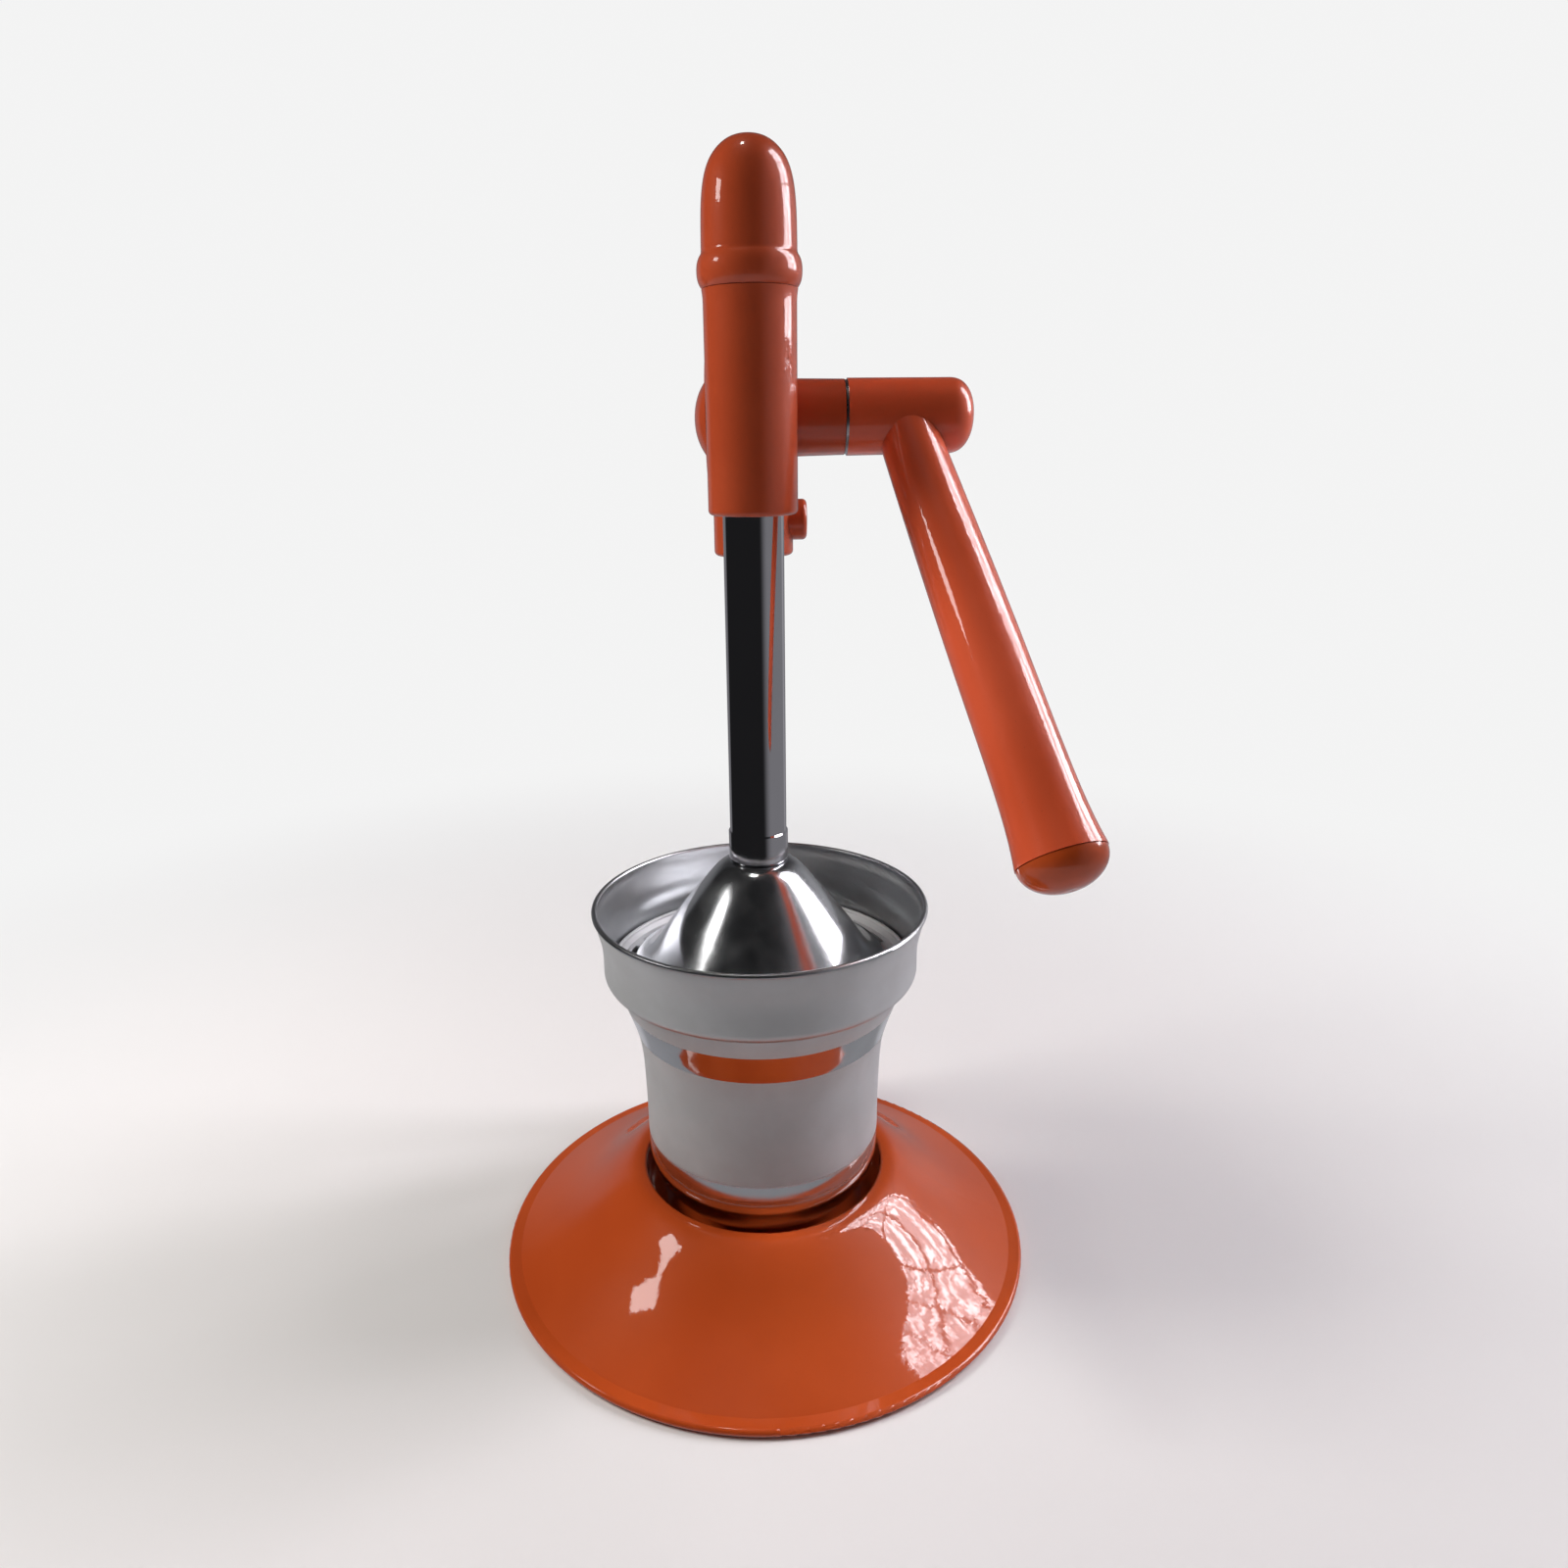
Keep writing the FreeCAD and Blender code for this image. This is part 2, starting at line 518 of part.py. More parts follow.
def press_rod():
    """Round rod with rack teeth cut in its rear side and a spigot for the ferrule."""
    body = lathe(outline([(0, CONE_TOP), (SPIGOT_RADIUS, CONE_TOP), (SPIGOT_RADIUS, FERRULE_TOP),
                          (ROD_RADIUS, FERRULE_TOP), (ROD_RADIUS, ROD_TOP - ROD_CHAMFER),
                          (ROD_RADIUS - ROD_CHAMFER, ROD_TOP), (0, ROD_TOP)]))
    pitch = math.pi * MODULE
    tip = RACK_PITCH_Y + RACK_ADDENDUM
    root = RACK_PITCH_Y - DEDENDUM
    lowest = PINION_Z - (SPACES_BELOW_AXIS + 0.5) * pitch
    highest = PINION_Z + (SPACES_ABOVE_AXIS + 0.5) * pitch
    side = -1.5 * ROD_RADIUS
    width = 3 * ROD_RADIUS
    flat = Part.makeBox(width, ROD_RADIUS, highest - lowest, Vector(side, tip, lowest))
    half_at_pitch = pitch / 4 + TOOTH_THINNING / 2
    half_at_root = half_at_pitch - DEDENDUM * math.tan(PRESSURE_ANGLE)
    reach = ROD_RADIUS + MODULE / 2
    half_at_reach = half_at_pitch + (reach - RACK_PITCH_Y) * math.tan(PRESSURE_ANGLE)
    cutters = [flat]
    for index in range(-SPACES_BELOW_AXIS, SPACES_ABOVE_AXIS + 1):
        z = PINION_Z + index * pitch
        corners = [Vector(side, root, z - half_at_root), Vector(side, reach, z - half_at_reach),
                   Vector(side, reach, z + half_at_reach), Vector(side, root, z + half_at_root)]
        face = Part.Face(Part.makePolygon(corners + corners[:1]))
        cutters.append(face.extrude(Vector(width, 0, 0)))
    screw_hole = cylinder(CONE_SCREW_RADIUS + SEAT_GAP, CONE_TOP, CONE_TOP + CONE_HOLE_DEPTH)
    return body.cut(cutters + [screw_hole])


def rod_ferrule():
    """Rounded collar round the foot of the rod."""
    inner = SPIGOT_RADIUS + SEAT_GAP
    rounding = (FERRULE_RADIUS - FERRULE_ROUND, CONE_TOP + FERRULE_ROUND)
    side_top = FERRULE_TOP - FERRULE_CHAMFER
    section = [
        line((inner, CONE_TOP), (rounding[0], CONE_TOP)),
        quarter(rounding, FERRULE_ROUND, -90),
        line((FERRULE_RADIUS, rounding[1]), (FERRULE_RADIUS, side_top)),
        line((FERRULE_RADIUS, side_top), (ROD_RADIUS, FERRULE_TOP)),
        line((ROD_RADIUS, FERRULE_TOP), (inner, FERRULE_TOP)),
        line((inner, FERRULE_TOP), (inner, CONE_TOP)),
    ]
    return lathe(section)


def press_cone():
    """Bell that presses the fruit, thin walled, with a thicker plate under the rod."""
    hole = CONE_SCREW_RADIUS + WASHER_CLEARANCE
    section = [
        line((hole, CONE_TOP), CONE_CURVE[0]),
        smooth(CONE_CURVE).toShape(),
        line(CONE_CURVE[-1], CONE_INNER_CURVE[0]),
        smooth(CONE_INNER_CURVE).toShape(),
        line(CONE_INNER_CURVE[-1], (hole, CONE_PLATE_UNDERSIDE)),
        line((hole, CONE_PLATE_UNDERSIDE), (hole, CONE_TOP)),
    ]
    return lathe(section)


def cone_washer():
    bottom = CONE_PLATE_UNDERSIDE - CONE_WASHER_THICKNESS
    return ring(CONE_WASHER_RADIUS, CONE_SCREW_RADIUS + WASHER_CLEARANCE, bottom, CONE_PLATE_UNDERSIDE)


def cone_screw():
    """Socket-head screw that holds the cone on the rod."""
    seat = CONE_PLATE_UNDERSIDE - CONE_WASHER_THICKNESS
    head_bottom = seat - CONE_SCREW_HEAD_HEIGHT
    head = cylinder(CONE_SCREW_HEAD_RADIUS, head_bottom, seat)
    shank = cylinder(CONE_SCREW_RADIUS, seat, CONE_TOP + CONE_SCREW_LENGTH)
    socket = hexagon(CONE_SCREW_HEAD_RADIUS, head_bottom, head_bottom + CONE_SCREW_HEAD_HEIGHT / 2)
    return head.fuse(shank).removeSplitter().cut(socket)


# ---- rack drive --------------------------------------------------------------------------------

def involute(angle):
    return math.tan(angle) - angle


def pinion():
    """Spur gear with involute teeth, keyed on its shaft; one tooth points at the rod."""
    base_radius = PITCH_RADIUS * math.cos(PRESSURE_ANGLE)
    tip_radius = PITCH_RADIUS + MODULE
    root_radius = PITCH_RADIUS - DEDENDUM
    tooth = math.pi * MODULE / 2 - TOOTH_THINNING
    half_at_pitch = tooth / (2 * PITCH_RADIUS)
    samples = 6
    flank = []
    for index in range(samples):
        radius = base_radius + (tip_radius - base_radius) * index / (samples - 1)
        pressure = math.acos(min(1.0, base_radius / radius))
        flank.append((radius, half_at_pitch + involute(PRESSURE_ANGLE) - involute(pressure)))

    def at(radius, angle):
        return Vector(radius * math.cos(angle), radius * math.sin(angle), -PINION_WIDTH / 2)

    edges = []
    pitch_angle = 2 * math.pi / PINION_TEETH
    for index in range(PINION_TEETH):
        centre = index * pitch_angle
        left = [at(radius, centre - half) for radius, half in flank]
        right = [at(radius, centre + half) for radius, half in reversed(flank)]
        root_half = flank[0][1]
        root_left = at(root_radius, centre - root_half)
        root_right = at(root_radius, centre + root_half)
        next_left = at(root_radius, centre + pitch_angle - root_half)
        edges.append(Part.LineSegment(root_left, left[0]).toShape())
        edges.append(spatial_curve(left))
        edges.append(Part.Arc(left[-1], at(tip_radius, centre), right[0]).toShape())
        edges.append(spatial_curve(right))
        edges.append(Part.LineSegment(right[-1], root_right).toShape())
        middle = at(root_radius, centre + pitch_angle / 2)
        edges.append(Part.Arc(root_right, middle, next_left).toShape())
    gear = Part.Face(Part.Wire(edges)).extrude(Vector(0, 0, PINION_WIDTH))
    gear = gear.cut(cylinder(SHAFT_RADIUS + SEAT_GAP, -PINION_WIDTH, PINION_WIDTH))
    gear.rotate(ORIGIN, UP, -90.0)
    gear = gear.cut(key_slot(PINION_WIDTH))
    return on_pinion_axis(gear)


def spatial_curve(points):
    curve = Part.BSplineCurve()
    curve.interpolate(Points=points)
    return curve.toShape()


def key_slot(length):
    """The key's space, on the rear side of the shaft before it is laid along X."""
    return Part.makeBox(KEY_WIDTH, KEY_TOP - KEY_BOTTOM, length,
                        Vector(-KEY_WIDTH / 2, KEY_BOTTOM, -length / 2))


def pinion_key():
    return on_pinion_axis(key_slot(KEY_LENGTH))


def pinion_shaft():
    """Steel shaft that carries the pinion and the lever."""
    shaft = cylinder(SHAFT_RADIUS, SHAFT_LEFT, SHAFT_RIGHT)
    return on_pinion_axis(shaft.cut(key_slot(KEY_LENGTH)))


def left_shaft_bush():
    bore = SHAFT_RADIUS + RUNNING_GAP
    return on_pinion_axis(ring(LEFT_BUSH_RADIUS, bore, COVER_BORE_FACE, -BUSH_INNER_FACE))


def right_shaft_bush():
    bore = SHAFT_RADIUS + RUNNING_GAP
    return on_pinion_axis(ring(RIGHT_BUSH_RADIUS, bore, BUSH_INNER_FACE, NECK_END))


# ---- head --------------------------------------------------------------------------------------

def head_casting():
    """One casting: rod tube, gear drum, lever neck, web and column socket with its screw lug."""
    rounding = (TUBE_RADIUS - TUBE_EDGE_ROUND, TUBE_BOTTOM + TUBE_EDGE_ROUND)
    tube = lathe([
        line((0, TUBE_BOTTOM), (rounding[0], TUBE_BOTTOM)),
        quarter(rounding, TUBE_EDGE_ROUND, -90),
        line((TUBE_RADIUS, rounding[1]), TUBE_FLARE_CURVE[0]),
        smooth(TUBE_FLARE_CURVE, start_direction=(0, 1)).toShape(),
        line(TUBE_FLARE_CURVE[-1], (0, TUBE_TOP)),
        line((0, TUBE_TOP), (0, TUBE_BOTTOM)),
    ])
    drum = on_pinion_axis(cylinder(DRUM_RADIUS, -DRUM_HALF_WIDTH, DRUM_HALF_WIDTH))
    neck = on_pinion_axis(lathe(outline([(0, 0), (NECK_ROOT_RADIUS, 0), (NECK_END_RADIUS, NECK_END),
                                         (0, NECK_END)])))
    socket = rounded_bar(SOCKET_RADIUS, SOCKET_BOTTOM, SOCKET_TOP, LUG_ROUND, SOCKET_ROUND)
    socket.translate(Vector(0, COLUMN_Y, 0))
    lug = along_x(rounded_bar(LUG_RADIUS, 0, LUG_END, 0, LUG_ROUND), COLUMN_Y, LUG_HEIGHT)
    solid = tube.fuse([drum, neck, head_web(), socket, lug]).removeSplitter()
    solid = solid.cut(cylinder(GUIDE_BORE_RADIUS, TUBE_BOTTOM, TUBE_TOP))
    solid = solid.cut(on_pinion_axis(cylinder(CHAMBER_RADIUS, -DRUM_HALF_WIDTH, CHAMBER_RIGHT)))
    solid = solid.cut(on_pinion_axis(cylinder(RIGHT_BUSH_RADIUS, 0, NECK_END)))
    solid = solid.cut(cylinder(COLUMN_RADIUS + SEAT_GAP, SOCKET_BOTTOM, COLUMN_TOP, y=COLUMN_Y))
    solid = solid.cut(along_x(cylinder(SET_SCREW_RADIUS + SEAT_GAP, 0, LUG_END), COLUMN_Y, LUG_HEIGHT))
    return solid.cut(cover_screw_shapes(SEAT_GAP, False))


def rounded_bar(radius, bottom, top, bottom_round, top_round):
    """A round bar with its two end edges rounded off."""
    section = [
        line((0, bottom), (radius - bottom_round, bottom)),
        line((radius, bottom + bottom_round), (radius, top - top_round)),
        quarter((radius - top_round, top - top_round), top_round, 0),
        line((radius - top_round, top), (0, top)),
        line((0, top), (0, bottom)),
    ]
    if bottom_round > 0:
        section.append(quarter((radius - bottom_round, bottom + bottom_round), bottom_round, -90))
    return lathe(section)


def head_web():
    """Rib that ties the rod tube and the drum to the column socket."""
    corners = [Vector(-WEB_THICKNESS / 2, y, z) for y, z in WEB_OUTLINE]
    return Part.Face(Part.makePolygon(corners + corners[:1])).extrude(Vector(WEB_THICKNESS, 0, 0))


def cover_screw_shapes(gap, slotted):
    """The countersunk cover screws; with a gap and no slot they are the cutters of their holes."""
    solids = []
    for angle in COVER_SCREW_ANGLES:
        turn = math.radians(angle)
        y = PINION_Y + COVER_SCREW_CIRCLE * math.cos(turn)
        z = PINION_Z + COVER_SCREW_CIRCLE * math.sin(turn)
        shank = cylinder(COVER_SCREW_RADIUS + gap, COVER_FACE, COVER_FACE + COVER_SCREW_LENGTH)
        head = Part.makeCone(COVER_SCREW_HEAD_RADIUS + gap, COVER_SCREW_RADIUS + gap,
                             COVER_SCREW_HEAD_HEIGHT, Vector(0, 0, COVER_FACE), UP)
        screw = shank.fuse(head).removeSplitter()
        if slotted:
            corner = Vector(-COVER_SCREW_HEAD_RADIUS, -SLOT_WIDTH / 2, COVER_FACE)
            screw = screw.cut(Part.makeBox(2 * COVER_SCREW_HEAD_RADIUS, SLOT_WIDTH, SLOT_DEPTH, corner))
        solids.append(along_x(screw, y, z))
    return solids


def gear_cover():
    """Round cover of the gear chamber, domed in the middle over the shaft bush."""
    section = [
        line((LEFT_BUSH_RADIUS, -COVER_SPIGOT_FACE), (COVER_SPIGOT_RADIUS, -COVER_SPIGOT_FACE)),
        line((COVER_SPIGOT_RADIUS, -COVER_SPIGOT_FACE), (COVER_SPIGOT_RADIUS, DRUM_HALF_WIDTH)),
        line((COVER_SPIGOT_RADIUS, DRUM_HALF_WIDTH), (DRUM_RADIUS, DRUM_HALF_WIDTH)),
        line((DRUM_RADIUS, DRUM_HALF_WIDTH), (DRUM_RADIUS, -COVER_FACE - COVER_CHAMFER)),
        line((DRUM_RADIUS, -COVER_FACE - COVER_CHAMFER), (DRUM_RADIUS - COVER_CHAMFER, -COVER_FACE)),
        line((DRUM_RADIUS - COVER_CHAMFER, -COVER_FACE), COVER_DOME_CURVE[0]),
        smooth(COVER_DOME_CURVE, end_direction=(-1, 0)).toShape(),
        line(COVER_DOME_CURVE[-1], (0, -COVER_BORE_FACE)),
        line((0, -COVER_BORE_FACE), (LEFT_BUSH_RADIUS, -COVER_BORE_FACE)),
        line((LEFT_BUSH_RADIUS, -COVER_BORE_FACE), (LEFT_BUSH_RADIUS, -COVER_SPIGOT_FACE)),
    ]
    cover = lathe(section)
    cover.rotate(ORIGIN, Vector(1, 0, 0), 180.0)
    cover = on_pinion_axis(cover)
    cover = cover.cut(cylinder(TUBE_RADIUS + COVER_TUBE_CLEARANCE, TUBE_BOTTOM, TUBE_TOP))
    return cover.cut(cover_screw_shapes(SEAT_GAP, False))


def cover_screws():
    return Part.makeCompound(cover_screw_shapes(0.0, True))


def column_set_screw():
    """Grub screw in the lug that clamps the column."""
    outer_end = LUG_END - SET_SCREW_INSET
    screw = cylinder(SET_SCREW_RADIUS, COLUMN_RADIUS, outer_end)
    socket = hexagon(SET_SCREW_RADIUS, outer_end - SET_SCREW_SOCKET_DEPTH, LUG_END)
    return along_x(screw.cut(socket), COLUMN_Y, LUG_HEIGHT)


def lower_guide_bush():
    bottom = TUBE_BOTTOM + LOWER_BUSH_INSET
    return ring(GUIDE_BORE_RADIUS, ROD_RADIUS + RUNNING_GAP, bottom, LOWER_BUSH_TOP)


def upper_guide_bush():
    return ring(GUIDE_BORE_RADIUS, ROD_RADIUS + RUNNING_GAP, UPPER_BUSH_BOTTOM, UPPER_BUSH_TOP)


def top_cap():
    """Hollow round-topped cap with a bead ring, pressed into the tube."""
    spigot_bottom = UPPER_BUSH_TOP + CAP_SPIGOT_GAP
    inner_radius = CAP_INSIDE_CURVE[-1][0]
    section = [
        smooth(CAP_BEAD_CURVE).toShape(),
        arc(*CAP_WAIST_CURVE),
        smooth(CAP_CROWN_CURVE, start_direction=(0, 1), end_direction=(-1, 0)).toShape(),
        line(CAP_CROWN_CURVE[-1], CAP_INSIDE_CURVE[0]),
        smooth(CAP_INSIDE_CURVE, start_direction=(1, 0), end_direction=(0, -1)).toShape(),
        line(CAP_INSIDE_CURVE[-1], (inner_radius, spigot_bottom)),
        line((inner_radius, spigot_bottom), (CAP_SPIGOT_RADIUS, spigot_bottom)),
        line((CAP_SPIGOT_RADIUS, spigot_bottom), (CAP_SPIGOT_RADIUS, CAP_SEAT)),
        line((CAP_SPIGOT_RADIUS, CAP_SEAT), CAP_BEAD_CURVE[0]),
    ]
    return lathe(section)


# ---- lever -------------------------------------------------------------------------------------

def place_on_arm(shape):
    """Move a shape made about the Z axis on to the arm's axis, from the root towards the end."""
    turned = FreeCAD.Placement(ARM_ROOT, FreeCAD.Rotation(UP, ARM_END - ARM_ROOT))
    result = shape.copy()
    result.Placement = turned.multiply(shape.Placement)
    return result


def lever():
    """Hub with a domed end and the arm that swells to a knob, one casting."""
    hub = on_pinion_axis(lathe([
        line((0, HUB_LEFT), (HUB_ROOT_RADIUS, HUB_LEFT)),
        line((HUB_ROOT_RADIUS, HUB_LEFT), HUB_DOME_CURVE[0]),
        smooth(HUB_DOME_CURVE, start_direction=(0, 1), end_direction=(-1, 0)).toShape(),
        line(HUB_DOME_CURVE[-1], (0, HUB_LEFT)),
    ]))
    arm_start = (0, ARM_CURVE[0][1])
    arm = place_on_arm(lathe([
        line(arm_start, ARM_CURVE[0]),
        smooth(ARM_CURVE).toShape(),
        line(ARM_CURVE[-1], (0, ARM_LENGTH)),
        line((0, ARM_LENGTH), arm_start),
    ]))
    body = hub.fuse(arm).removeSplitter()
    body = body.cut(on_pinion_axis(cylinder(SHAFT_RADIUS + SEAT_GAP, HUB_LEFT, HUB_BORE_END)))
    end_bore = cylinder(END_SPIGOT_RADIUS + SEAT_GAP, ARM_LENGTH - END_BORE_DEPTH, ARM_LENGTH)
    body = body.cut(place_on_arm(end_bore))
    return body.cut(hub_screw_cylinder(HUB_SCREW_RADIUS + SEAT_GAP, DRUM_RADIUS))


def hub_screw_cylinder(radius, top):
    """Rod from the shaft's surface outward to the rear of the hub."""
    return Part.makeCylinder(radius, top - SHAFT_RADIUS,
                             Vector(HUB_SCREW_X, PINION_Y + SHAFT_RADIUS, PINION_Z), Vector(0, 1, 0))


def hub_set_screw():
    """Grub screw that locks the hub on the shaft."""
    return hub_screw_cylinder(HUB_SCREW_RADIUS, HUB_SCREW_TOP)


def lever_end_cap():
    """Domed plug in the end of the arm, with a fine joint line round it."""
    spigot_end = END_SEAT - END_SPIGOT_LENGTH
    section = [
        smooth(END_DOME_CURVE, end_direction=(-1, 0)).toShape(),
        line(END_DOME_CURVE[-1], (0, spigot_end)),
        line((0, spigot_end), (END_SPIGOT_RADIUS, spigot_end)),
        line((END_SPIGOT_RADIUS, spigot_end), (END_SPIGOT_RADIUS, END_SEAT)),
        line((END_SPIGOT_RADIUS, END_SEAT), END_DOME_CURVE[0]),
    ]
    return place_on_arm(lathe(section))


def hub_washer():
    """Bright thrust washer between the neck and the hub."""
    return on_pinion_axis(ring(HUB_WASHER_RADIUS, SHAFT_RADIUS + SEAT_GAP, NECK_END + SEAM, HUB_LEFT))


PIECES = {
    "base": base,
    "base_pad": base_pad,
    "cup_pad": cup_pad,
    "column": column,
    "column_plug": column_plug,
    "column_washer": column_washer,
    "column_bolt": column_bolt,
    "juice_cup": juice_cup,
    "strainer_bowl": strainer_bowl,
    "strainer_filter": strainer_filter,
    "press_rod": press_rod,
    "rod_ferrule": rod_ferrule,
    "press_cone": press_cone,
    "cone_washer": cone_washer,
    "cone_screw": cone_screw,
    "pinion": pinion,
    "pinion_key": pinion_key,
    "pinion_shaft": pinion_shaft,
    "left_shaft_bush": left_shaft_bush,
    "right_shaft_bush": right_shaft_bush,
    "head_casting": head_casting,
    "gear_cover": gear_cover,
    "cover_screws": cover_screws,
    "column_set_screw": column_set_screw,
    "lower_guide_bush": lower_guide_bush,
    "upper_guide_bush": upper_guide_bush,
    "top_cap": top_cap,
    "lever": lever,
    "hub_set_screw": hub_set_screw,
    "lever_end_cap": lever_end_cap,
    "hub_washer": hub_washer,
}

os.makedirs("parts", exist_ok=True)
for name, make in PIECES.items():
    shape = make()
    shape.exportStep("parts/" + name + ".step")
    box = shape.BoundBox
    print(name, "valid", shape.isValid(), "solids", len(shape.Solids), "volume", round(shape.Volume),
          "x", round(box.XMin, 1), round(box.XMax, 1), "y", round(box.YMin, 1), round(box.YMax, 1),
          "z", round(box.ZMin, 1), round(box.ZMax, 1))
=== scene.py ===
import math

import bpy
from mathutils import Matrix, Vector


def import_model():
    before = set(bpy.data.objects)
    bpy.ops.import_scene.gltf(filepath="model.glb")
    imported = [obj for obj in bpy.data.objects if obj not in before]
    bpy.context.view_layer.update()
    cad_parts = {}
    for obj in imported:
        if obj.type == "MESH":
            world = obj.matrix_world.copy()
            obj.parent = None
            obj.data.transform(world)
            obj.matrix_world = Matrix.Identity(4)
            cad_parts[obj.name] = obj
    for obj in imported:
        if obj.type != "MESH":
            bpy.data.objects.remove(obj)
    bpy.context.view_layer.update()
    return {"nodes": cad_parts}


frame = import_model()
nodes = frame["nodes"]

# Hand-lever citrus press in orange enamel, with a chromed rod and a stainless cup, strainer and cone.
# Lengths are in metres, and +Z is up. The press faces -Y, with its lever on the +X side.

# Where the finish of the thin sheet pieces changes
CUP_SATIN_BOTTOM = 0.0510
CUP_SATIN_TOP = 0.0940
CUP_RING_TOP = 0.1055
SOFT_EDGE = 0.002             # half height over which the satin fades out at the foot of the cup
SHARP_EDGE = 0.0002           # the same at the two upper edges
STRAINER_WALL_RADIUS = 0.0566  # middle of the upright wall's sheet
STRAINER_FLARE_HEIGHT = 0.128
STRAINER_FLARE_SLOPE = 0.17
STRAINER_LIP_HEIGHT = 0.1388
STRAINER_LIP_FADE = 0.001
STRAINER_WALL_FADE = 0.0001
FILTER_FADE_FROM = 0.110      # the filter's satin grows a little brighter between these two heights
FILTER_FADE_TO = 0.150

# Linear colours
ENAMEL_DEEP = (0.52, 0.072, 0.012)
ENAMEL_LIGHT = (0.60, 0.092, 0.018)
ENAMEL_SPECK = (0.16, 0.03, 0.01, 1)
CHROME = (0.70, 0.70, 0.72, 1)
CHROME_WIPED = (0.62, 0.62, 0.65, 1)
STEEL = (0.55, 0.57, 0.58, 1)
STEEL_CLOUDED = (0.62, 0.645, 0.66, 1)
ZINC = (0.55, 0.55, 0.57, 1)
GEAR_STEEL = (0.30, 0.29, 0.28, 1)
BRONZE = (0.50, 0.30, 0.12, 1)
RUBBER_DARK = (0.010, 0.010, 0.011, 1)
RUBBER_LIGHT = (0.025, 0.025, 0.026, 1)
FLOOR_DARK = (0.80, 0.80, 0.80, 1)
FLOOR_LIGHT = (0.86, 0.86, 0.86, 1)
PAPER = (0.90, 0.90, 0.90, 1)
ROOM = (0.96, 0.94, 1.0, 1)
DAYLIGHT = (1.0, 0.93, 0.98, 1)
BLACK = (0, 0, 0, 1)

SATIN_ROUGHNESS = 0.56

# Floor
FLOOR_RADIUS = 8.0
FLOOR_SIDES = 96
PAPER_FROM = 0.16             # distance from the middle where the floor starts to turn into plain paper
PAPER_FULL = 0.70

# Lamps: name, place, aimed at, size, power in watts, colour, seen in the shiny parts
LAMPS = [
    ("soft_left", (-0.64, 0.02, 0.62), (0, 0, 0.22), (0.30, 0.30), 4.2, (1.0, 0.95, 0.90), False),
    ("lamp_left", (-0.62, -0.125, 0.60), (0, 0, 0.2), (0.15, 0.12), 0.52, (1.0, 0.96, 0.94), True),
    ("lamp_top", (-0.16, 0.03, 1.45), (0, 0, 0.1), (0.14, 0.10), 1.0, (1.0, 0.97, 0.92), True),
    ("soft_top", (-0.3, -0.5, 1.9), (0, 0, 0.1), (0.8, 0.8), 2.5, (1.0, 1.0, 1.0), False),
]

# Window on the right, upright and square to the X axis
WINDOW_X = 1.25
WINDOW_FRONT = 0.04
WINDOW_BACK = 0.72
WINDOW_BOTTOM = 0.40
WINDOW_TOP = 2.08
WINDOW_BRIGHTNESS = 20.0
PANE_WIDTH = 0.34
PANE_HEIGHT = 0.42
BAR_HALF_WIDTH = 0.012
BAR_BLUR = 0.006

# Camera
SENSOR_MM = 36.0
LENS_MM = 25.27
LENS_SHIFT = 0.0158
NEAREST_SEEN = 0.01
CAMERA_PLACE = (0, -0.369, 0.299)
CAMERA_YAW = -0.09
CAMERA_TILT_DOWN = 17.2
CAMERA_ROLL = -0.89


# ---- node helpers ----

class Graph:
    """Short ways to add shader nodes to a tree and to join them."""

    def __init__(self, tree):
        self.tree = tree

    def add(self, kind, **settings):
        node = self.tree.nodes.new(kind)
        for name, value in settings.items():
            setattr(node, name, value)
        return node

    def feed(self, socket, value):
        """Joins an output to the socket, or sets the socket to a constant."""
        if isinstance(value, bpy.types.NodeSocket):
            self.tree.links.new(value, socket)
        else:
            socket.default_value = value

    def math(self, operation, first, second=0.0):
        node = self.add("ShaderNodeMath", operation=operation)
        self.feed(node.inputs[0], first)
        self.feed(node.inputs[1], second)
        return node.outputs[0]

    def remap(self, value, low, high, to_low=0.0, to_high=1.0):
        """Smooth step from to_low, at the value low, to to_high, at the value high."""
        node = self.add("ShaderNodeMapRange", interpolation_type="SMOOTHSTEP")
        for socket, number in zip(node.inputs, (value, low, high, to_low, to_high)):
            self.feed(socket, number)
        return node.outputs[0]

    def split(self, vector):
        node = self.add("ShaderNodeSeparateXYZ")
        self.feed(node.inputs[0], vector)
        return node.outputs

    def stretch(self, vector, scale):
        node = self.add("ShaderNodeVectorMath", operation="MULTIPLY")
        self.feed(node.inputs[0], vector)
        node.inputs[1].default_value = scale
        return node.outputs[0]

    def noise(self, vector, scale, detail=2.0):
        node = self.add("ShaderNodeTexNoise")
        self.feed(node.inputs["Vector"], vector)
        node.inputs["Scale"].default_value = scale
        node.inputs["Detail"].default_value = detail
        return node.outputs["Fac"]

    def mix(self, factor, first, second):
        node = self.add("ShaderNodeMix", data_type="RGBA")
        self.feed(node.inputs["Factor"], factor)
        self.feed(node.inputs[6], first)
        self.feed(node.inputs[7], second)
        return node.outputs[2]

    def mix_shaders(self, factor, first, second):
        node = self.add("ShaderNodeMixShader")
        for socket, value in zip(node.inputs, (factor, first, second)):
            self.feed(socket, value)
        return node.outputs[0]

    def bump(self, height, depth, below=None):
        node = self.add("ShaderNodeBump")
        node.inputs["Distance"].default_value = depth
        self.feed(node.inputs["Height"], height)
        if below is not None:
            self.feed(node.inputs["Normal"], below)
        return node.outputs["Normal"]

    def camera_ray(self):
        return self.add("ShaderNodeLightPath").outputs["Is Camera Ray"]


